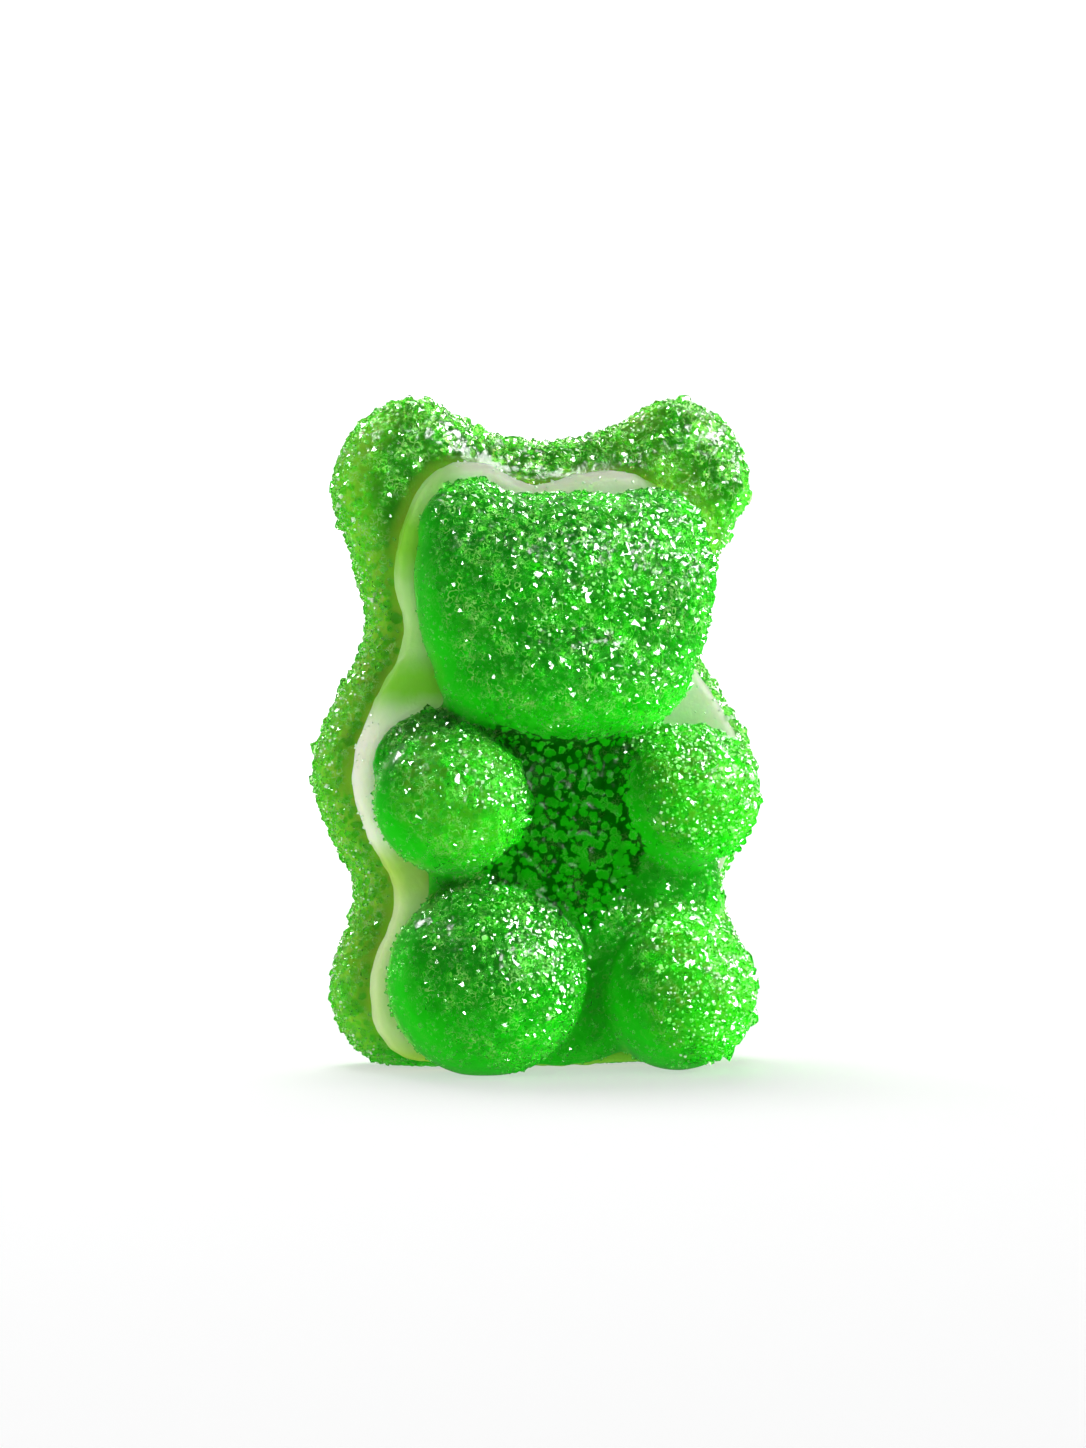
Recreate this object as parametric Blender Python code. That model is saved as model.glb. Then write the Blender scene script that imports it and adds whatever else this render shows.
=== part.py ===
"""Sugared gummy bear: a sandwich of three moulded layers that stands on its feet.

The bear faces -Y and stands on z = 0, with its own right side at -X. Behind is a flat green jelly
slab with the ears. In front of it lies a thin pale foam layer, a little smaller all round, and in
front of that a green jelly relief with the head, the belly, the arms and the legs.
"""

import bmesh
import bpy
import numpy as np
from mathutils import Matrix, Vector

MM = 0.001

# Driving dimensions, in millimetres. Depths run from the joint between the slab and the foam,
# positive towards the back.
SLAB_DEPTH = 4.0
SLAB_RIM = 1.75
FOAM_DEPTH = 1.4
FOAM_RIM = 0.45
FOAM_INSET = 0.9
LAYER_GAP = 0.1
FOOT_HEIGHT = 0.3

# How fine the fused skin is worked, how often its creases are softened, and what share is kept.
VOXEL = 0.2
SOFTENING = 9
KEPT_SHARE = {"back_jelly": 0.05, "foam_layer": 0.035, "front_jelly": 0.07}

# The slab's outline: distance from the middle and height, from the ears down each flank.
EAR_DIP = (0.1, 26.3)
BEARS_RIGHT = (
    (-2.6, 26.8),
    (-5.7, 28.1),
    (-8.75, 25.1),
    (-7.95, 21.4),
    (-7.4, 18.2),
    (-8.75, 15.4),
    (-9.65, 12.3),
    (-9.0, 9.9),
    (-7.85, 7.4),
    (-8.9, 3.5),
    (-7.9, 0.8),
    (-5.4, -0.2),
)
BEARS_LEFT = (
    (3.0, 26.8),
    (6.35, 28.05),
    (9.05, 25.1),
    (7.8, 21.4),
    (6.7, 17.9),
    (8.4, 14.7),
    (9.55, 11.8),
    (8.95, 9.7),
    (7.9, 7.4),
    (9.1, 3.5),
    (8.2, 0.9),
    (5.6, -0.2),
)

# The foam's edge across the head, below the ears, from the bear's right to its left.
FOAM_BROW = (
    (-6.9, 20.6),
    (-6.35, 23.4),
    (-5.1, 25.2),
    (-3.3, 25.55),
    (-1.0, 24.6),
    (1.3, 25.1),
    (3.2, 25.1),
    (5.3, 23.7),
    (6.5, 21.6),
)

# The front relief: centre, radii, and for the head how square it is and how much it narrows
# towards the chin. The heights are from the table, the depths from the foam's front face.
HEAD = ((0.0, -0.3, 19.5), (6.25, 4.0, 4.65), 2.8, 0.1)
CHIN = ((-0.05, -0.9, 17.1), (5.5, 3.7, 3.45), 2.1, 0.0)
BELLY = ((0.0, 0.3, 8.3), (5.8, 2.5, 8.3), 2.4, 0.0)
BODY_FORMS = {
    "right_temple": ((-3.9, -0.3, 22.5), (2.3, 2.7, 2.3)),
    "left_temple": ((3.8, -0.3, 22.1), (2.4, 2.7, 2.3)),
    "right_shoulder": ((-5.1, 0.1, 12.9), (3.1, 1.9, 2.4)),
    "left_flank": ((3.5, 0.1, 7.9), (3.55, 2.2, 3.6)),
    "right_arm": ((-5.05, -1.6, 11.45), (3.25, 2.9, 3.05)),
    "left_arm": ((5.1, -1.6, 11.5), (3.0, 2.9, 2.95)),
    "right_leg": ((-3.55, -1.4, 3.9), (4.1, 4.2, 4.05)),
    "left_leg": ((4.75, -1.4, 3.3), (3.2, 4.0, 3.35)),
}

GREEN = (0.02, 0.50, 0.02, 1.0)
PALE = (0.62, 0.78, 0.40, 1.0)


def clear_scene():
    for old in list(bpy.data.objects):
        bpy.data.objects.remove(old, do_unlink=True)


def sweet_material(name, colour, roughness):
    made = bpy.data.materials.new(name)
    made.use_nodes = True
    shader = made.node_tree.nodes["Principled BSDF"]
    shader.inputs["Base Color"].default_value = colour
    shader.inputs["Roughness"].default_value = roughness
    shader.inputs["Metallic"].default_value = 0.0
    made.diffuse_color = colour
    return made


def add_lump(bm, centre, radii, squareness=2.0, narrowing=0.0):
    """An ellipsoid on the foam's front, or with a squareness over 2 a rounder box."""
    made = bmesh.ops.create_icosphere(bm, subdivisions=5, radius=1.0)
    place = Vector(centre) - Vector((0.0, FOAM_DEPTH, 0.0))
    for vert in made["verts"]:
        reach = sum(abs(part) ** squareness for part in vert.co) ** (1 / squareness)
        form = vert.co / reach
        form.x *= 1 + narrowing * form.z
        vert.co = place + Vector(r * part for r, part in zip(radii, form))


def add_plate(bm, outline, back, front, rim):
    """A plate in the XZ plane with a smooth outline through the points and rounded rims."""
    curve = bpy.data.curves.new("outline", "CURVE")
    curve.dimensions = "2D"
    curve.fill_mode = "BOTH"
    curve.resolution_u = 10
    curve.extrude = (back - front) / 2 - rim
    curve.bevel_depth = rim
    curve.bevel_resolution = 5
    curve.offset = -rim
    spline = curve.splines.new("BEZIER")
    spline.use_cyclic_u = True
    spline.bezier_points.add(len(outline) - 1)
    for point, (x, z) in zip(spline.bezier_points, outline):
        point.co = (x, z, 0.0)
        point.handle_left_type = point.handle_right_type = "AUTO"
    holder = bpy.data.objects.new("outline", curve)
    bpy.context.collection.objects.link(holder)
    graph = bpy.context.evaluated_depsgraph_get()
    mesh = bpy.data.meshes.new_from_object(holder.evaluated_get(graph))
    upright = Matrix.Rotation(np.radians(90), 4, "X")
    mesh.transform(Matrix.Translation((0, (back + front) / 2, 0)) @ upright)
    bm.from_mesh(mesh)
    bmesh.ops.remove_doubles(bm, verts=bm.verts, dist=0.001)
    bpy.data.objects.remove(holder)
    bpy.data.meshes.remove(mesh)


def moved_in(flank):
    """The flank's outline below the head, moved towards the middle and off the table."""
    below = [point for point in flank if point[1] < HEAD[0][2]]
    return [(x - np.sign(x) * FOAM_INSET, max(z, FOOT_HEIGHT)) for x, z in below]


def slab_forms():
    bm = bmesh.new()
    outline = (EAR_DIP, *BEARS_LEFT, *reversed(BEARS_RIGHT))
    add_plate(bm, outline, SLAB_DEPTH, 0.0, SLAB_RIM)
    return bm


def foam_forms():
    bm = bmesh.new()
    outline = (*FOAM_BROW, *moved_in(BEARS_LEFT), *reversed(moved_in(BEARS_RIGHT)))
    add_plate(bm, outline, -LAYER_GAP, -FOAM_DEPTH, FOAM_RIM)
    return bm


def relief_forms():
    bm = bmesh.new()
    for form in (HEAD, CHIN, BELLY, *BODY_FORMS.values()):
        add_lump(bm, *form)
    return bm


def cutting_block(name, low, high):
    """A box-shaped cutter between two corners, in millimetres."""
    bm = bmesh.new()
    bmesh.ops.create_cube(bm, size=1.0)
    for vert in bm.verts:
        vert.co = Vector(b if part > 0 else a for part, a, b in zip(vert.co, low, high)) * MM
    mesh = bpy.data.meshes.new(name)
    bm.to_mesh(mesh)
    bm.free()
    block = bpy.data.objects.new(name, mesh)
    bpy.context.collection.objects.link(block)
    block.hide_render = True
    block.display_type = "WIRE"
    return block


def fused(name, bm, cutters):
    """One closed skin round all the forms, with its creases softened and its flats cut."""
    bmesh.ops.scale(bm, vec=(MM, MM, MM), verts=bm.verts)
    mesh = bpy.data.meshes.new(name)
    bm.to_mesh(mesh)
    bm.free()
    made = bpy.data.objects.new(name, mesh)
    bpy.context.collection.objects.link(made)
    skin = made.modifiers.new("skin", "REMESH")
    skin.mode = "VOXEL"
    skin.voxel_size = VOXEL * MM
    skin.use_smooth_shade = True
    soften = made.modifiers.new("soften", "SMOOTH")
    soften.factor = 0.5
    soften.iterations = SOFTENING
    thin_out = made.modifiers.new("thin_out", "DECIMATE")
    thin_out.ratio = KEPT_SHARE[name]
    for cutter in cutters:
        cut = made.modifiers.new(cutter.name, "BOOLEAN")
        cut.object = cutter
        cut.solver = "EXACT"
    return made


def stand_centred(bear, layers):
    """Moves the whole bear so that the middle of its width and depth is at X = 0 and Y = 0."""
    graph = bpy.context.evaluated_depsgraph_get()
    corners = [Vector(corner) for layer in layers for corner in layer.evaluated_get(graph).bound_box]
    for axis in (0, 1):
        reach = [corner[axis] for corner in corners]
        bear.location[axis] = -(min(reach) + max(reach)) / 2


def main():
    clear_scene()
    green = sweet_material("green_jelly", GREEN, 0.3)
    pale = sweet_material("pale_foam", PALE, 0.5)
    table = cutting_block("table_plane", (-20, -20, -20), (20, 20, 0))
    foam_face = cutting_block("foam_face", (-20, -FOAM_DEPTH - LAYER_GAP, -20), (20, 20, 40))
    slab = fused("back_jelly", slab_forms(), (table,))
    slab.data.materials.append(green)
    foam = fused("foam_layer", foam_forms(), ())
    foam.data.materials.append(pale)
    relief = fused("front_jelly", relief_forms(), (foam_face, table))
    relief.data.materials.append(green)
    bear = bpy.data.objects.new("bear", None)
    bpy.context.collection.objects.link(bear)
    for child in (slab, foam, relief, table, foam_face):
        child.parent = bear
    stand_centred(bear, (slab, foam, relief))


main()
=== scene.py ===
"""Sugared gummy bear: two castings of green jelly with a pale foam layer between them, rolled in
sugar. Distances are in metres; the bear faces -Y, stands on z = 0 and has its own right side at -X."""

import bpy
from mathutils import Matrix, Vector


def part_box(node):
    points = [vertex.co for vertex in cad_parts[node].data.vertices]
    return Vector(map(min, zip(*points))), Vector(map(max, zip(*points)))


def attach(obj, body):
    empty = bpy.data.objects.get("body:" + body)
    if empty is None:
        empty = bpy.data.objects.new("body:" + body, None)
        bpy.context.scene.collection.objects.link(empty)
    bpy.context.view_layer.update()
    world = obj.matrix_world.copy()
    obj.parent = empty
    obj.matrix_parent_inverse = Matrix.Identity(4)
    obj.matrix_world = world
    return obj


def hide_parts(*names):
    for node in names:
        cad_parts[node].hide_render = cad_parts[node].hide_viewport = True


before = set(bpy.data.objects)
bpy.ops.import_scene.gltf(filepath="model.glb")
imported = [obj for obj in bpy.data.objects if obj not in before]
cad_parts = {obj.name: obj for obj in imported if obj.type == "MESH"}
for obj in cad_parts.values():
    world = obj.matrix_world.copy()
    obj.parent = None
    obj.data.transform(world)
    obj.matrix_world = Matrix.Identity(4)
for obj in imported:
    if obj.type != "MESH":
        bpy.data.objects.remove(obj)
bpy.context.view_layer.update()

import math

import bmesh
import bpy
import numpy as np
from mathutils import Vector, kdtree, noise

# ---------------------------------------------------------------------------------------------
# The foam layer: jelly whipped with air, poured pale in a shallow sheet on the slab. It sets
# soft and finely pored, and is olive-green in places: low down, at the waist, beside the head
# and along the left edge. It comes first, because the bare edges and the lime glow of both
# jellies are measured from it.
# ---------------------------------------------------------------------------------------------
MM = 0.001
FOAM_SPACING = 0.13 * MM
FOAM_SWELL = 0.07 * MM
FOAM_SHRINK = 0.06 * MM
FOAM_WAVE = 0.1 * MM
FOAM_WAVE_LENGTH = 0.6 * MM
FOAM_PORE = 0.16 * MM
FOAM_LUMP = 0.6 * MM
FOAM_CLOUD = 1.4 * MM
FOAM_WHITE = (0.88, 0.96, 0.74, 1.0)
FOAM_OLIVE = (0.24, 0.62, 0.05, 1.0)
FOAM_STRAW = (0.38, 0.64, 0.05, 1.0)
# Where the olive comes and goes, in millimetres: heights between which it fades or grows, and
# distances from the middle of the bear, its own left positive.
BELOW_ARM = (8.8, 10.2)
FOOT = (0.2, 2.0)
ABOVE_SHOULDER = (14.2, 16.2)
LEFT_TEMPLE = (18.0, 20.0)
UNDERSIDE = (1.0, 2.5)
STRAW_BELOW = (9.0, 11.0)
RIGHT_EDGE = (-5.0, -3.6)
INSIDE_RIGHT_LEG = (-4.5, -2.0)
LEFT_CHEEK = (3.0, 4.4)
LEFT_EDGE = (7.4, 8.2)
# Deeper patches of olive: the height of the middle and half the width of each, in millimetres.
WAIST = (8.3, 1.4)
NECK = (15.8, 1.8)
RIGHT_TEMPLE = (22.2, 1.8)


def fine_skin(name, layer, spacing, rounds):
    """A close-meshed smooth skin over one of the frame's layers, as a new object."""
    rough = bmesh.new()
    rough.from_mesh(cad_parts[layer].data)
    bmesh.ops.remove_doubles(rough, verts=rough.verts, dist=1e-6)
    mesh = bpy.data.meshes.new(name)
    rough.to_mesh(mesh)
    rough.free()
    skin = bpy.data.objects.new(name, mesh)
    bpy.context.scene.collection.objects.link(skin)
    close = skin.modifiers.new("close_mesh", "REMESH")
    close.mode = "VOXEL"
    close.voxel_size = spacing
    close.use_smooth_shade = True
    soften = skin.modifiers.new("soften", "SMOOTH")
    soften.iterations = rounds
    graph = bpy.context.evaluated_depsgraph_get()
    fine = bpy.data.meshes.new_from_object(skin.evaluated_get(graph))
    skin.modifiers.clear()
    skin.data = fine
    fine.name = name
    fine.materials.clear()
    return skin


def points_of(mesh):
    flat = np.empty(len(mesh.vertices) * 3, np.float32)
    mesh.vertices.foreach_get("co", flat)
    return flat.reshape(-1, 3).astype(float)


def normals_of(mesh):
    flat = np.empty(len(mesh.vertices) * 3, np.float32)
    mesh.vertex_normals.foreach_get("vector", flat)
    return flat.reshape(-1, 3).astype(float)


def pushed_out(mesh, points, normals, rise):
    """Moves each point along its normal, none of them through the table."""
    points = points + normals * rise[:, None]
    points[:, 2] = np.maximum(points[:, 2], 0.0)
    mesh.vertices.foreach_set("co", points.astype(np.float32).ravel())
    mesh.update()


def mottle(points, size):
    """Smooth random values from about -1 to 1 that vary over that size."""
    return np.array([noise.noise(Vector(point)) for point in points / size])


def ramp(values, low, high):
    """0 up to the low value, 1 from the high one, and smooth between them."""
    share = np.clip((values - low) / (high - low), 0, 1)
    return share * share * (3 - 2 * share)


def band(values, middle, half_width):
    """1 at the middle of a band of values, fading to 0 at its two edges."""
    return np.clip(1 - ((values - middle) / half_width) ** 2, 0, 1)


def paint(mesh, name, values):
    """Stores one number for each point, for the material to read."""
    mesh.attributes.new(name, "FLOAT", "POINT").data.foreach_set("value", values.astype(np.float32))


def blank_material(name):
    made = bpy.data.materials.new(name)
    made.use_nodes = True
    tree = made.node_tree
    return made, tree, tree.nodes["Principled BSDF"]


def put(tree, socket, value):
    """Sets a socket, or links it where the value is another node's output."""
    if isinstance(value, bpy.types.NodeSocket):
        tree.links.new(value, socket)
    else:
        socket.default_value = value


def mixed(tree, share, first, second):
    """A colour between two others."""
    made = tree.nodes.new("ShaderNodeMix")
    made.data_type = "RGBA"
    put(tree, made.inputs[0], share)
    put(tree, made.inputs[6], first)
    put(tree, made.inputs[7], second)
    return made.outputs[2]


def stepped(tree, value, low, high, to_low=0.0, to_high=1.0):
    """A value spread smoothly from one range over another."""
    made = tree.nodes.new("ShaderNodeMapRange")
    made.interpolation_type = "SMOOTHSTEP"
    for socket, number in zip(made.inputs, (value, low, high, to_low, to_high)):
        put(tree, socket, number)
    return made.outputs[0]


def combined(tree, first, second, how="ADD"):
    """Two values added, or worked together another way, and kept between 0 and 1."""
    made = tree.nodes.new("ShaderNodeMath")
    made.operation = how
    made.use_clamp = True
    put(tree, made.inputs[0], first)
    put(tree, made.inputs[1], second)
    return made.outputs[0]


def speckle(tree, size, detail=2.0, distortion=0.0):
    """Cloudy variation over the piece, with features of about that size."""
    made = tree.nodes.new("ShaderNodeTexNoise")
    put(tree, made.inputs["Vector"], tree.nodes.new("ShaderNodeTexCoord").outputs["Object"])
    made.inputs["Scale"].default_value = 1 / size
    made.inputs["Detail"].default_value = detail
    made.inputs["Distortion"].default_value = distortion
    return made.outputs["Fac"]


def away_from(tree, value, middle):
    """How far a value is from another, either way."""
    made = tree.nodes.new("ShaderNodeMath")
    made.operation = "ABSOLUTE"
    gap = tree.nodes.new("ShaderNodeMath")
    gap.operation = "SUBTRACT"
    put(tree, gap.inputs[0], value)
    put(tree, gap.inputs[1], middle)
    put(tree, made.inputs[0], gap.outputs[0])
    return made.outputs[0]


def painted(tree, name):
    made = tree.nodes.new("ShaderNodeAttribute")
    made.attribute_name = name
    return made.outputs["Fac"]


def bumped(tree, shader, height, depth, strength=1.0):
    """Fine relief on a surface, over any relief that it has already."""
    made = tree.nodes.new("ShaderNodeBump")
    made.inputs["Distance"].default_value = depth
    made.inputs["Strength"].default_value = strength
    put(tree, made.inputs["Height"], height)
    before = shader.inputs["Normal"].links
    if before:
        put(tree, made.inputs["Normal"], before[0].from_socket)
    put(tree, shader.inputs["Normal"], made.outputs[0])


def foam_material(name):
    """Soft pored foam, olive-green in the places painted for it."""
    made, tree, shader = blank_material(name)
    clouds = stepped(tree, speckle(tree, FOAM_CLOUD), 0.3, 0.7, 0.0, 0.1)
    olive_share = combined(tree, painted(tree, "olive_share"), clouds)
    olive_colour = mixed(tree, painted(tree, "straw"), FOAM_OLIVE, FOAM_STRAW)
    put(tree, shader.inputs["Base Color"], mixed(tree, olive_share, FOAM_WHITE, olive_colour))
    shader.inputs["Subsurface Weight"].default_value = 1.0
    shader.inputs["Subsurface Radius"].default_value = (0.8, 1.0, 0.5)
    shader.inputs["Subsurface Scale"].default_value = 0.4 * MM
    shader.inputs["Roughness"].default_value = 0.4
    shader.inputs["Specular IOR Level"].default_value = 0.1
    bumped(tree, shader, speckle(tree, FOAM_PORE, 3.0), 0.02 * MM)
    bumped(tree, shader, speckle(tree, FOAM_LUMP, 2.0), 0.05 * MM)
    return made


foam = fine_skin("foam_between_the_jellies", "foam_layer", FOAM_SPACING, 4)
foam_points = points_of(foam.data)
foam_normals = normals_of(foam.data)
flatness = np.abs(foam_normals[:, 1])
uneven = (FOAM_WAVE * mottle(foam_points, FOAM_WAVE_LENGTH) - FOAM_SHRINK) * (1 - flatness)
pushed_out(foam.data, foam_points, foam_normals, FOAM_SWELL * flatness + uneven)
foam_sides, _, foam_heights = foam_points.T / MM
low_olive = 0.48 * (1 - ramp(foam_heights, *BELOW_ARM)) + 0.5 * (1 - ramp(foam_heights, *FOOT))
low_olive += 0.35 * band(foam_heights, *WAIST)
neck_olive = 0.68 + 0.32 * band(foam_heights, *NECK) + 0.32 * band(foam_heights, *RIGHT_TEMPLE)
neck_olive *= ramp(foam_heights, *ABOVE_SHOULDER) * (1 - ramp(foam_sides, *RIGHT_EDGE))
left_olive = ramp(foam_heights, *LEFT_TEMPLE) * ramp(foam_sides, *LEFT_CHEEK)
left_olive += 0.6 * ramp(foam_sides, *LEFT_EDGE)
under_olive = (1 - ramp(foam_heights, *UNDERSIDE)) * ramp(foam_sides, *INSIDE_RIGHT_LEG)
olive_share = np.where(foam_sides < 0, low_olive + neck_olive, left_olive) + under_olive
olive_share = np.clip(olive_share, 0, 1)
straw = (1 - ramp(foam_heights, *STRAW_BELOW)) * (1 - ramp(foam_sides, *INSIDE_RIGHT_LEG))
paint(foam.data, "olive_share", olive_share)
paint(foam.data, "straw", straw)
foam.data.materials.append(foam_material("pale_foam_olive_in_places"))
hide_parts("foam_layer")
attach(foam, "root")

# ---------------------------------------------------------------------------------------------
# The back slab: a flat casting of green jelly with the two ears. It is poured into a starch
# mould, and later steamed and rolled in sugar, which leaves its skin cobbled all over.
# ---------------------------------------------------------------------------------------------
SLAB_SPACING = 0.13 * MM
COBBLE = 0.45 * MM
COBBLE_RISE = 0.08 * MM
JELLY_GREEN = (0.003, 0.155, 0.002, 1.0)
JELLY_DEEP = (0.0, 0.125, 0.0, 1.0)
# A lighter green, painted as glow on the sides turned away from the main light.
JELLY_PAINTED_GLOW = (0.010, 0.60, 0.004, 1.0)
JELLY_LIME = (0.48, 0.80, 0.06, 1.0)
CRACK_PALE = (0.32, 0.62, 0.18, 1.0)
JELLY_SHEEN = (0.6, 0.9, 0.5, 1.0)
JELLY_REACH = (0.3, 3.0, 0.2)
JELLY_GLOSS = 0.5
JELLY_CLOUD = 0.5 * MM
JELLY_PATCH = 0.8 * MM
LINED_PATCH = 1.1 * MM
PEBBLE = 0.36 * MM
PEBBLE_RING = 0.42
CRACK = 0.24 * MM
RIPPLE = 0.24 * MM
RIPPLE_DEPTH = 0.05 * MM
# The direction of the main light; the sides turned from it get the painted glow.
MAIN_LIGHT_FROM = (0.15, -0.6, 0.78)
BARE_EDGE = (0.35 * MM, 0.9 * MM)
FOAM_GLOW = (0.1 * MM, 0.7 * MM)
EAR_GLOW = (0.3 * MM, 2.4 * MM)


def cobbles(points, size):
    """0 in the joints between rounded stones of that size, 1 on their crowns."""
    rise = np.empty(len(points))
    for i, point in enumerate(points / size):
        first, second = noise.voronoi(Vector(point))[0][:2]
        rise[i] = min(1.0, 1.8 * (second - first))
    return rise


def foam_distance(points):
    """How far each point is from the foam."""
    return np.array([foam_tree.find(point)[2] for point in points])


def glow_painted_on_shaded_sides(normals):
    """Painted glow: 0 on crowns facing the main light, 1 on turned-under edges, as if lit through the
    jelly.
    """
    return 1 - ramp(normals @ np.array(MAIN_LIGHT_FROM), -0.4, 0.9)


def pebble_distance(tree, size):
    """0 in the middle of each of many uneven rounded pebbles, 0.6 and more in the gaps between."""
    push = 0.7 * size
    ruffle = tree.nodes.new("ShaderNodeTexNoise")
    ruffle.inputs["Scale"].default_value = 2 / size
    place = tree.nodes.new("ShaderNodeTexCoord").outputs["Object"]
    put(tree, ruffle.inputs["Vector"], place)
    shift = tree.nodes.new("ShaderNodeVectorMath")
    shift.operation = "MULTIPLY_ADD"
    put(tree, shift.inputs[0], ruffle.outputs["Color"])
    shift.inputs[1].default_value = (push, push, push)
    put(tree, shift.inputs[2], place)
    made = tree.nodes.new("ShaderNodeTexVoronoi")
    made.inputs["Scale"].default_value = 1 / size
    put(tree, made.inputs["Vector"], shift.outputs[0])
    return made.outputs["Distance"]


def jelly_material(name, pit_shade_green=None):
    """Wet translucent jelly with pale rings and cracks, and painted shade in its pits if given a shade
    green.
    """
    made, tree, shader = blank_material(name)
    cloud = stepped(tree, speckle(tree, JELLY_CLOUD, 3.0), 0.38, 0.62)
    green = mixed(tree, cloud, JELLY_DEEP, JELLY_GREEN)
    # Painted glow: lighter green on the sides turned from the main light.
    green = mixed(tree, painted(tree, "painted_glow"), green, JELLY_PAINTED_GLOW)
    green = mixed(tree, painted(tree, "lime"), green, JELLY_LIME)
    pebbles = pebble_distance(tree, PEBBLE)
    shader.inputs["Specular IOR Level"].default_value = JELLY_GLOSS
    # Painted shade: dark green in the gaps between pebbles where the pit shade is painted, with gloss
    # dulled there.
    if pit_shade_green:
        pit_shade = painted(tree, "pit_shade")
        gaps = combined(tree, pebbles, combined(tree, pit_shade, 0.2, "MULTIPLY"))
        gaps = stepped(tree, gaps, 0.62, 0.72)
        gaps = combined(tree, gaps, stepped(tree, pit_shade, 0.0, 0.3), "MULTIPLY")
        green = mixed(tree, gaps, green, pit_shade_green)
        dulled = stepped(tree, pit_shade, 0.0, 0.35, JELLY_GLOSS, 0.1 * JELLY_GLOSS)
        put(tree, shader.inputs["Specular IOR Level"], dulled)
    rings = stepped(tree, away_from(tree, pebbles, PEBBLE_RING), 0.03, 0.08, 1.0, 0.0)
    off_crack = away_from(tree, speckle(tree, CRACK, 2.0, 1.5), 0.5)
    cracks = stepped(tree, off_crack, 0.025, 0.06, 1.0, 0.0)
    lines = mixed(tree, stepped(tree, speckle(tree, LINED_PATCH), 0.45, 0.55), rings, cracks)
    patches = stepped(tree, speckle(tree, JELLY_PATCH), 0.42, 0.58, 0.05, 0.9)
    on_crust = stepped(tree, painted(tree, "crusted"), 0.0, 1.0, 0.12, 1.0)
    lines = combined(tree, lines, combined(tree, patches, on_crust, "MULTIPLY"), "MULTIPLY")
    put(tree, shader.inputs["Base Color"], mixed(tree, lines, green, CRACK_PALE))
    shader.inputs["Sheen Weight"].default_value = 0.1
    shader.inputs["Sheen Roughness"].default_value = 0.4
    shader.inputs["Sheen Tint"].default_value = JELLY_SHEEN
    shader.inputs["Subsurface Weight"].default_value = 1.0
    shader.inputs["Subsurface Radius"].default_value = JELLY_REACH
    shader.inputs["Subsurface Scale"].default_value = MM
    shader.inputs["Roughness"].default_value = 0.16
    shader.inputs["IOR"].default_value = 1.42
    rough_skin = stepped(tree, painted(tree, "crusted"), 0.0, 1.0, 0.55, 1.0)
    ripple = combined(tree, speckle(tree, RIPPLE, 3.0), rough_skin, "MULTIPLY")
    bumped(tree, shader, ripple, RIPPLE_DEPTH, 0.7)
    return made


foam_tree = kdtree.KDTree(len(foam_points))
for index, point in enumerate(foam_points):
    foam_tree.insert(point, index)
foam_tree.balance()

slab = fine_skin("sugared_back_slab", "back_jelly", SLAB_SPACING, 20)
slab_points = points_of(slab.data)
slab_normals = normals_of(slab.data)
from_foam = foam_distance(slab_points)
slab_bare = 1 - ramp(from_foam, *BARE_EDGE)
rise = COBBLE_RISE * (cobbles(slab_points, COBBLE) - 0.4) * (1 - slab_bare)
pushed_out(slab.data, slab_points, slab_normals, rise)
slab_sides, _, slab_heights = slab_points.T / MM
left_ear = ramp(slab_sides, 3.0, 6.0) * ramp(slab_heights, 18.0, 21.0)
glow = 1 - ramp(from_foam, *FOAM_GLOW) + 0.5 * left_ear * (1 - ramp(from_foam, *EAR_GLOW))
# Lime on the bear's right flank: partly the jelly's tone, partly painted light lightening a side the lamps
# leave dim.
right_flank_lime_and_light = ramp(-slab_normals[:, 0], 0.1, 0.9)
slab_lime = 0.6 * glow + 0.05 + 0.42 * right_flank_lime_and_light + 0.06 * mottle(slab_points, 1.5 * MM)
paint(slab.data, "lime", np.clip(slab_lime, 0, 1))
# Painted glow on the slab's sides turned away from the main light.
paint(slab.data, "painted_glow", glow_painted_on_shaded_sides(slab_normals))
paint(slab.data, "crusted", 1 - slab_bare)
slab.data.materials.append(jelly_material("slab_jelly"))
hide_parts("back_jelly")
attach(slab, "root")

# ---------------------------------------------------------------------------------------------
# The front relief: the second casting of green jelly, poured on the foam, with the head, the
# belly, the two arms and the two legs. Its crowns are crusted, its left flanks stay bare, and
# the hollow of the belly is pressed with pits, with painted shade in dark green between them.
# ---------------------------------------------------------------------------------------------
RELIEF_SPACING = 0.12 * MM
# The dark green painted as shade between the belly's pits, and how deep the pits are.
PIT_SHADE_GREEN = (0.0, 0.12, 0.0, 1.0)
PIT_DEPTH = 0.12 * MM
# Distances from the middle of the bear, heights, and how far the belly stands forward, in
# millimetres.
BELLY_MIDDLE = (-0.5, 10.8)
BELLY_REACH = (4.4, 5.6)
BELLY_FRONT = 2.15
LEFT_FLANK = (8.6, 1.7)
CROTCH = (5.0, 7.5)
ARMS = (11.5, 3.2)
LEGS = (6.0, 7.5)
CRUSTED_SIDE = (0.46, -0.82, 0.34)


def crusted(points, normals):
    """0 on the flanks that stay bare, 1 where the sugar sticks."""
    facing = normals @ np.array(CRUSTED_SIDE) + 0.12 * mottle(points, 2.0 * MM)
    return ramp(facing, -0.05, 0.4)


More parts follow.
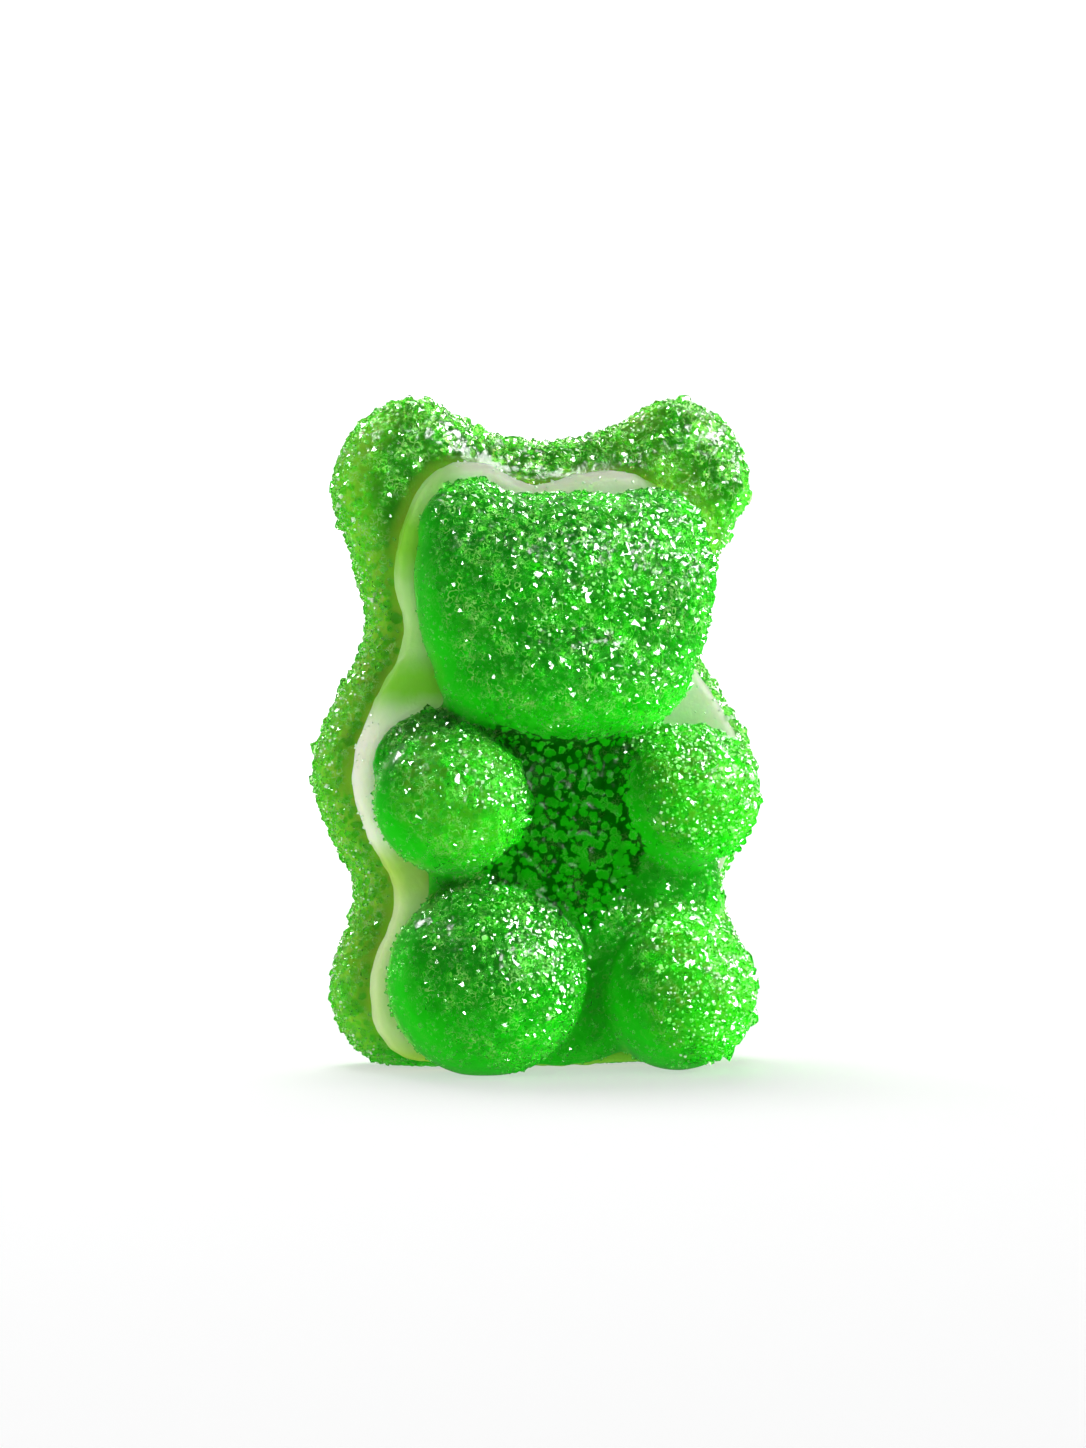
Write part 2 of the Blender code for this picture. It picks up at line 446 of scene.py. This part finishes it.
relief = fine_skin("sugared_front_relief", "front_jelly", RELIEF_SPACING, 24)
relief_points = points_of(relief.data)
relief_normals = normals_of(relief.data)
relief_sides, relief_fronts, relief_heights = relief_points.T / MM
across = (relief_sides - BELLY_MIDDLE[0]) / BELLY_REACH[0]
up = (relief_heights - BELLY_MIDDLE[1]) / BELLY_REACH[1]
proud = -relief_fronts - BELLY_FRONT
hollow = (1 - ramp(across**2 + up**2, 0.5, 1.0)) * (1 - ramp(proud, 0.0, 0.7))
flank = ramp(relief_sides, 1.8, 3.2) * band(relief_heights, *LEFT_FLANK) * (1 - ramp(proud, 0.3, 1.0))
crotch = (1 - ramp(proud, 0.2, 1.2)) * (1 - ramp(relief_heights, *CROTCH))
smooth_skin = np.clip(2 * flank + crotch, 0, 0.9)
crust = crusted(relief_points, relief_normals) * (1 - hollow) * (1 - smooth_skin)
rise = COBBLE_RISE * (cobbles(relief_points, COBBLE) - 0.3) * crust
rise -= PIT_DEPTH * hollow * ramp(mottle(relief_points, 0.4 * MM), 0.0, 0.35)
pushed_out(relief.data, relief_points, relief_normals, rise)
right_arm = ramp(-relief_sides, 1.5, 3.5) * band(relief_heights, *ARMS)
left_arm = ramp(relief_sides, 2.0, 4.0) * band(relief_heights, *ARMS)
left_leg = ramp(relief_sides, 2.0, 4.0) * (1 - ramp(relief_heights, *LEGS))
relief_lime = 0.15 * right_arm + 0.2 * (left_leg + left_arm) + 0.05 * mottle(relief_points, 1.8 * MM)
# Painted glow: lighter on sides turned from the main light, on the smooth flank and crotch, and in the
# belly's hollow.
painted_glow = glow_painted_on_shaded_sides(relief_normals) + 0.3 * np.clip(flank + crotch, 0, 1) + 0.5 * hollow
paint(relief.data, "lime", np.clip(relief_lime * (1 - hollow) * crust, 0, 1))
# Painted shade in the hollow of the belly, stronger towards its top, under the chin.
paint(relief.data, "pit_shade", hollow * (0.5 + 0.5 * ramp(up, -0.5, 0.5)))
paint(relief.data, "painted_glow", np.clip(painted_glow, 0, 1))
paint(relief.data, "crusted", crust)
relief.data.materials.append(jelly_material("relief_jelly", PIT_SHADE_GREEN))
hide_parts("front_jelly")
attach(relief, "root")

# ---------------------------------------------------------------------------------------------
# The sugar: clear grains, still damp and stuck halfway into the jelly. Worn stones lie close
# together over the crusted skin, smaller chips fill in between, and white frost lies thickest
# on the sides facing the glint lamps and on the slab's edges, partly as painted highlight and rim
# light; some frost lies on the pale foam too.
# ---------------------------------------------------------------------------------------------
LARGE_GRAIN = 0.58 * MM
COARSE_GRAIN = 0.36 * MM
FINE_GRAIN = 0.17 * MM
FROST_GRAIN = 0.12 * MM
LARGE_SPACING = 0.42 * MM
COARSE_SPACING = 0.29 * MM
FINE_SPACING = 0.14 * MM
FROST_SPACING = 0.17 * MM
GREEN_LIT_SUGAR = (0.40, 0.95, 0.30, 1.0)
SHADED_SUGAR = (0.60, 1.0, 0.50, 1.0)
PALE_SUGAR = (0.62, 0.98, 0.45, 1.0)
SUGAR_SHEEN = (0.7, 1.0, 0.6, 1.0)
FROST_GREENISH = (0.7, 0.92, 0.6, 1.0)
FROST_WHITE = (0.95, 1.0, 0.9, 1.0)
FOAM_FROST_SHARE = 0.4
STONE_WEAR = 0.5
SUGAR_BENDING = 1.54
DAMP_SUGAR_BENDING = 1.3
GLINT_SIDE = (0.65, -0.6, 0.45)
SLAB_GLINT_SIDE = (0.8, -0.45, 0.4)


def stone(steps, wear):
    """A unit stone of sugar with uneven faces: its points and triangles."""
    block = bmesh.new()
    bmesh.ops.create_icosphere(block, subdivisions=steps, radius=0.5)
    for vert in block.verts:
        vert.co *= 1 + wear * noise.noise(vert.co * 4)
    block.verts.index_update()
    points = np.array([vert.co for vert in block.verts])
    faces = np.array([[vert.index for vert in face.verts] for face in block.faces])
    block.free()
    return points, faces


def chip():
    """A unit chip of sugar with two pointed ends: its points and triangles."""
    points = np.array(((0.5, 0, 0), (-0.5, 0, 0), (0, 0.5, 0), (0, -0.5, 0), (0, 0, 0.5), (0, 0, -0.5)))
    faces = [(0, 2, 4), (2, 1, 4), (1, 3, 4), (3, 0, 4), (2, 0, 5), (1, 2, 5), (3, 1, 5), (0, 3, 5)]
    return points, np.array(faces)


def spots_on(shares, spacing, tries, chance):
    """Seeded places on the skins, no two nearer than the spacing, with the skin's direction at each.

    The tries are the places tested for each two square millimetres of a skin with a share of 1."""
    places, directions = [], []
    for skin, share in shares.items():
        mesh = skin.data
        mesh.calc_loop_triangles()
        corners = np.empty(len(mesh.loop_triangles) * 3, np.int32)
        mesh.loop_triangles.foreach_get("vertices", corners)
        corners = corners.reshape(-1, 3)
        points, normals = points_of(mesh), normals_of(mesh)
        ends = points[corners]
        areas = np.linalg.norm(np.cross(ends[:, 1] - ends[:, 0], ends[:, 2] - ends[:, 0]), axis=1)
        weights = areas * share[corners].mean(1)
        count = int(tries * weights.sum() / 2 / MM**2)
        picked = chance.choice(len(corners), count, p=weights / weights.sum())
        blend = chance.dirichlet((1, 1, 1), count)[:, :, None]
        places.append((points[corners[picked]] * blend).sum(1))
        directions.append((normals[corners[picked]] * blend).sum(1))
    places, directions = np.concatenate(places), np.concatenate(directions)
    kept, cells = [], {}
    for i in chance.permutation(len(places)):
        cell = tuple(np.floor(places[i] / spacing).astype(int))
        near = (cells.get((cell[0] + a, cell[1] + b, cell[2] + c), ())
                for a in (-1, 0, 1) for b in (-1, 0, 1) for c in (-1, 0, 1))
        if all(np.sum((places[i] - places[j]) ** 2) > spacing**2 for group in near for j in group):
            cells.setdefault(cell, []).append(i)
            kept.append(i)
    return places[kept], directions[kept]


def unit(vectors):
    return vectors / np.linalg.norm(vectors, axis=1)[:, None]


def grains(name, shape, spots, size, uneven, flat, lift, tilt, chance):
    """One mesh of many grains, each lying on the skin and turned and stretched its own way.

    The lift is how far a grain's middle stands off the skin, as a share of the grain's size."""
    points, faces = shape
    places, directions = spots
    count = len(places)
    up = unit(directions + tilt * chance.normal(size=(count, 3)))
    along = unit(np.cross(up, chance.normal(size=(count, 3))))
    turn = np.stack((along, np.cross(up, along), up), axis=2)
    sizes = size * np.exp(uneven * chance.normal(size=(count, 1)))
    stretch = sizes * chance.uniform(0.8, 1.2, (count, 3)) * np.array((1.0, 1.0, flat))
    middles = places + unit(directions) * sizes * lift
    world = np.einsum("nij,nkj->nki", turn, points[None] * stretch[:, None]) + middles[:, None]
    world[..., 2] = np.maximum(world[..., 2], 0.0)
    corners = (faces[None] + np.arange(count)[:, None, None] * len(points)).reshape(-1, 3)
    mesh = bpy.data.meshes.new(name)
    mesh.from_pydata(world.reshape(-1, 3), [], corners.tolist())
    paint(mesh, "pale", ramp(world.reshape(-1, 3)[:, 1], 0.5 * MM, 1.5 * MM))
    made = bpy.data.objects.new(name, mesh)
    bpy.context.scene.collection.objects.link(made)
    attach(made, "root")
    return made


def clear_sugar(name, bending, clearness):
    """Clear sugar that lets the light through to the jelly under it."""
    made, tree, shader = blank_material(name)
    pale = painted(tree, "pale")
    put(tree, shader.inputs["Base Color"], mixed(tree, pale, GREEN_LIT_SUGAR, PALE_SUGAR))
    shader.inputs["Transmission Weight"].default_value = clearness
    shader.inputs["Sheen Weight"].default_value = 0.1
    shader.inputs["Sheen Roughness"].default_value = 0.3
    shader.inputs["Sheen Tint"].default_value = SUGAR_SHEEN
    shader.inputs["Roughness"].default_value = 0.05
    shader.inputs["IOR"].default_value = bending
    through = tree.nodes.new("ShaderNodeBsdfTransparent")
    put(tree, through.inputs["Color"], mixed(tree, pale, SHADED_SUGAR, PALE_SUGAR))
    pick = tree.nodes.new("ShaderNodeMixShader")
    put(tree, pick.inputs[0], tree.nodes.new("ShaderNodeLightPath").outputs["Is Shadow Ray"])
    put(tree, pick.inputs[1], shader.outputs[0])
    put(tree, pick.inputs[2], through.outputs[0])
    put(tree, tree.nodes["Material Output"].inputs["Surface"], pick.outputs[0])
    return made


def frost_sugar(name):
    """Fine broken sugar, whitish because it scatters the light."""
    made, tree, shader = blank_material(name)
    put(tree, shader.inputs["Base Color"], mixed(tree, speckle(tree, MM), FROST_GREENISH, FROST_WHITE))
    shader.inputs["Roughness"].default_value = 0.25
    shader.inputs["IOR"].default_value = SUGAR_BENDING
    return made


chance = np.random.default_rng(7)
slab_share = (1 - slab_bare) * ramp(slab_heights, 0.1, 0.4)
# The slab's side edges, where frost stands partly for painted rim light.
slab_edge_rim_light = ramp(-np.abs(slab_normals[:, 1]), -0.8, -0.3)
ears = ramp(slab_heights, 19.0, 22.0) * ramp(-slab_normals[:, 1], 0.0, 0.6)
slab_lit = ramp(slab_normals @ np.array(SLAB_GLINT_SIDE), 0.3, 0.9) * (1 - 0.9 * ears)
slab_lit += ramp(slab_normals[:, 1], 0.2, 0.8)
off_foam = ramp(foam_distance(relief_points), 0.25 * MM, 0.6 * MM) * ramp(relief_heights, 0.1, 0.4)
relief_share = crust * off_foam
bare_share = (0.2 + 0.8 * crust) * off_foam * (1 - hollow)
left_limbs = left_arm + left_leg
head_left = ramp(relief_sides, 1.5, 5.0) * ramp(relief_heights, 14.0, 16.0)
head_top = ramp(relief_heights, 21.0, 23.0)
facing_light = relief_normals @ np.array(GLINT_SIDE) + 0.2 * mottle(relief_points, 3.0 * MM)
lit = ramp(facing_light + 0.9 * left_limbs - 0.3 * np.maximum(head_left, head_top), 0.45, 0.95)
foam_share = FOAM_FROST_SHARE * (1 - ramp(olive_share, 0.1, 0.4)) * ramp(foam_heights, 0.3, 0.6)

shares = {relief: relief_share * lit, slab: 0.3 * slab_share * slab_lit}
spots = spots_on(shares, LARGE_SPACING, tries=20.0, chance=chance)
large = grains("large_sugar", stone(2, STONE_WEAR), spots, LARGE_GRAIN,
               uneven=0.2, flat=0.6, lift=0.02, tilt=0.45, chance=chance)
shares = {relief: relief_share, slab: slab_share * (1 - 0.6 * ears)}
spots = spots_on(shares, COARSE_SPACING, tries=30.0, chance=chance)
coarse = grains("coarse_sugar", stone(1, STONE_WEAR), spots, COARSE_GRAIN,
                uneven=0.2, flat=0.7, lift=0.0, tilt=0.45, chance=chance)
shares = {relief: bare_share, slab: 0.4 * slab_share}
spots = spots_on(shares, FINE_SPACING, tries=32.0, chance=chance)
fine = grains("fine_sugar", chip(), spots, FINE_GRAIN,
              uneven=0.3, flat=1.0, lift=0.1, tilt=1.0, chance=chance)
# Frost: sugar dust, and partly painted highlight and rim light where it lies thick on sides facing the
# glint lamps and on the slab's edges.
shares = {relief: relief_share * lit * (1 + 3 * left_limbs), slab: slab_share * slab_edge_rim_light, foam: foam_share}
spots = spots_on(shares, FROST_SPACING, tries=8.0, chance=chance)
frost = grains("frost_sugar", chip(), spots, FROST_GRAIN,
               uneven=0.3, flat=1.0, lift=0.2, tilt=1.0, chance=chance)
large.data.materials.append(clear_sugar("large_sugar_clear", SUGAR_BENDING, 1.0))
coarse.data.materials.append(clear_sugar("coarse_sugar_clear", SUGAR_BENDING, 1.0))
fine.data.materials.append(clear_sugar("fine_sugar_clear", DAMP_SUGAR_BENDING, 0.9))
frost.data.materials.append(frost_sugar("frost_sugar_white"))

# ---------------------------------------------------------------------------------------------
# The stand: a sheet of pale card that runs under the bear and curves up behind it, with soft
# boxes and the camera set round it. One lamp falls on the card alone, and softens the shadow.
# ---------------------------------------------------------------------------------------------
CARD_WHITE = (0.45, 0.45, 0.45, 1.0)
# The card's own glow under the bear and far behind it, and the two depths between which it grows.
CARD_GLOW = (0.5, 0.85)
CARD_GLOW_DEPTH = (0.02, 0.2)
# The room's light on everything, and how much of it shows in gloss.
ROOM_LIGHT = 0.38
ROOM_REFLECTED = 0.05
# The camera: degrees round from the front and up, metres away, and millimetres of lens.
CAMERA_AZIMUTH = -14.5
CAMERA_ELEVATION = 2.5
CAMERA_DISTANCE = 0.3
CAMERA_LENS = 177
CAMERA_AIM = (-0.25 * MM, 0.0, 0.4 * MM)
# Each lamp's degrees round from the front and up, metres away and across, and watts.
WASHES = {
    "front_wash": (10, 15, 0.35, 0.25, 0.08),
    "left_wash": (-55, 8, 0.40, 0.30, 0.43),
    "back_wash": (180, 60, 0.45, 0.40, 0.12),
}
GLINTS = {
    "right_glint": (80, 28, 0.30, 0.20, 3.6),
    "small_glint": (50, 35, 0.30, 0.08, 1.0),
    "front_glint": (25, 30, 0.30, 0.10, 0.8),
    "rear_glint": (140, 40, 0.35, 0.20, 0.7),
    "left_glint": (-75, 55, 0.30, 0.05, 0.3),
    "back_glint": (205, 35, 0.30, 0.08, 0.5),
}
FLOOR_WASH = (180, 66, 0.4, 0.2, 1.2)


def card_sweep(width, front, back, height, bend):
    """A sheet of card that lies flat and curves up behind the bear."""
    rows = [(front, 0.0), (back - bend, 0.0)]
    for step in range(1, 13):
        turn = math.radians(90 * step / 12)
        rows.append((back - bend + bend * math.sin(turn), bend - bend * math.cos(turn)))
    rows.append((back, height))
    card = bmesh.new()
    edges = [[card.verts.new((side, y, z)) for y, z in rows] for side in (-width / 2, width / 2)]
    for i in range(len(rows) - 1):
        card.faces.new((edges[0][i], edges[1][i], edges[1][i + 1], edges[0][i + 1])).smooth = True
    mesh = bpy.data.meshes.new("card_sweep")
    card.to_mesh(mesh)
    card.free()
    made = bpy.data.objects.new("card_sweep", mesh)
    bpy.context.scene.collection.objects.link(made)
    return made


sweep = card_sweep(width=2.0, front=-0.6, back=0.5, height=0.6, bend=0.2)
card, tree, shader = blank_material("pale_card")
shader.inputs["Base Color"].default_value = CARD_WHITE
shader.inputs["Roughness"].default_value = 0.9
shader.inputs["Specular IOR Level"].default_value = 0.0
shader.inputs["Emission Color"].default_value = (1, 1, 1, 1)
depth = tree.nodes.new("ShaderNodeSeparateXYZ")
put(tree, depth.inputs[0], tree.nodes.new("ShaderNodeTexCoord").outputs["Object"])
card_glow = stepped(tree, depth.outputs[1], *CARD_GLOW_DEPTH, *CARD_GLOW)
put(tree, shader.inputs["Emission Strength"], card_glow)
sweep.data.materials.append(card)
sweep.visible_glossy = False

low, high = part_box("back_jelly")
middle = Vector((0.0, low.y, high.z / 2))


def aim(thing, azimuth, elevation, distance, target):
    """Places a lamp or camera round the target and points it there."""
    turn, rise = math.radians(azimuth), math.radians(elevation)
    out = Vector((math.sin(turn) * math.cos(rise), -math.cos(turn) * math.cos(rise), math.sin(rise)))
    thing.location = target + out * distance
    thing.rotation_euler = out.to_track_quat("Z", "Y").to_euler()


def soft_box(name, azimuth, elevation, distance, size, power):
    lamp = bpy.data.lights.new(name, "AREA")
    lamp.shape = "SQUARE"
    lamp.size = size
    lamp.energy = power
    made = bpy.data.objects.new(name, lamp)
    bpy.context.scene.collection.objects.link(made)
    aim(made, azimuth, elevation, distance, middle)
    return made


for name, setting in WASHES.items():
    wash = soft_box(name, *setting)
    wash.visible_glossy = False
    wash.visible_transmission = False
for name, setting in GLINTS.items():
    glint = soft_box(name, *setting)
    glint.visible_diffuse = False

floor_lamp = soft_box("floor_wash", *FLOOR_WASH)
floor_lamp.visible_glossy = False
floor_only = bpy.data.collections.new("floor_only")
floor_only.objects.link(sweep)
floor_lamp.light_linking.receiver_collection = floor_only

world = bpy.data.worlds.new("white_room")
bpy.context.scene.world = world
world.use_nodes = True
walls = world.node_tree.nodes["Background"]
walls.inputs["Color"].default_value = (1, 1, 1, 1)
glossy = world.node_tree.nodes.new("ShaderNodeLightPath").outputs["Is Glossy Ray"]
room = stepped(world.node_tree, glossy, 0.0, 1.0, ROOM_LIGHT, ROOM_REFLECTED)
put(world.node_tree, walls.inputs["Strength"], room)

camera = bpy.data.objects.new("camera", bpy.data.cameras.new("camera"))
bpy.context.scene.collection.objects.link(camera)
camera.data.sensor_fit = "VERTICAL"
camera.data.sensor_height = 36
camera.data.lens = CAMERA_LENS
camera.data.clip_start = 0.01
aim(camera, CAMERA_AZIMUTH, CAMERA_ELEVATION, CAMERA_DISTANCE, middle + Vector(CAMERA_AIM))
bpy.context.scene.camera = camera
bpy.context.scene.view_settings.view_transform = "Standard"
